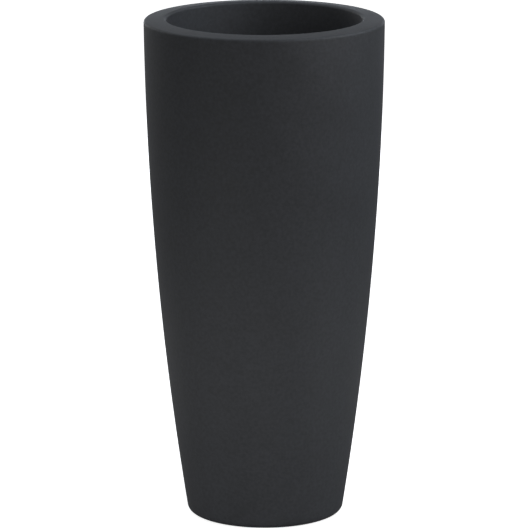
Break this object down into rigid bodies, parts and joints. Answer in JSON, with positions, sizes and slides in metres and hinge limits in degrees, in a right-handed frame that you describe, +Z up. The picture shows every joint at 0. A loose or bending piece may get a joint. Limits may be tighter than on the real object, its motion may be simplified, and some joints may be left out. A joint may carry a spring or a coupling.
{
  "type": "flower pot",
  "caption": "Tall round tapered floor planter with a broad rim, a lift-out self-watering insert with folding handles and a water gauge, and a drain plug.",
  "frame": {"origin": "middle of the foot ring, on the floor", "axes": "+Z up along the pot's axis; -Y towards the viewer of the picture; +X to the viewer's right, where the water gauge stands"},
  "size_m": [0.332, 0.3318, 0.6997],
  "materials": {
    "shell_polyethylene": "fine satin grain",
    "plug_plastic": "satin",
    "seal_rubber": "matte",
    "insert_polypropylene": "satin",
    "handle_polypropylene": "satin",
    "separator_polypropylene": "satin",
    "tube_polypropylene": "satin",
    "strainer_plastic": "satin",
    "float_foam": "fine closed-cell foam",
    "stem_plastic": "smooth",
    "tip_plastic": "gloss",
    "cap_clear_plastic": "clear"
  },
  "bodies": {
    "shell": {"outer_shell": "shell_polyethylene"},
    "plug": {"drain_plug": "plug_plastic", "drain_seal": "seal_rubber"},
    "insert": {"planting_insert": "insert_polypropylene"},
    "rear_handle": {"rear_lift_handle": "handle_polypropylene"},
    "front_handle": {"front_lift_handle": "handle_polypropylene"},
    "false_floor": {"separator_plate": "separator_polypropylene", "wick_feet": "separator_polypropylene", "gauge_tube": "tube_polypropylene", "gauge_strainer": "strainer_plastic"},
    "float": {"gauge_float": "float_foam", "float_stem": "stem_plastic", "indicator_tip": "tip_plastic"},
    "cap": {"gauge_cap": "cap_clear_plastic"}
  },
  "joints": [
    {"name": "insert_lift", "type": "slide", "parent": "shell", "child": "insert", "axis": [0, 0, 1], "range_m": [0, 0.33]},
    {"name": "rear_handle_fold", "type": "hinge", "parent": "insert", "child": "rear_handle", "pos_m": [0, 0.09187, 0.6358], "axis": [1, 0, 0], "range_deg": [0, 90]},
    {"name": "front_handle_fold", "type": "hinge", "parent": "insert", "child": "front_handle", "pos_m": [0, -0.09187, 0.6358], "axis": [-1, 0, 0], "range_deg": [0, 90]},
    {"name": "false_floor_lift", "type": "slide", "parent": "insert", "child": "false_floor", "axis": [0, 0, 1], "range_m": [0, 0.27]},
    {"name": "float_rise", "type": "slide", "parent": "false_floor", "child": "float", "axis": [0, 0, 1], "range_m": [0, 0.036]},
    {"name": "cap_pull", "type": "slide", "parent": "false_floor", "child": "cap", "axis": [0, 0, 1], "range_m": [0, 0.07]},
    {"name": "plug_pull", "type": "slide", "parent": "shell", "child": "plug", "axis": [0, 0, -1], "range_m": [0, 0.03]}
  ]
}
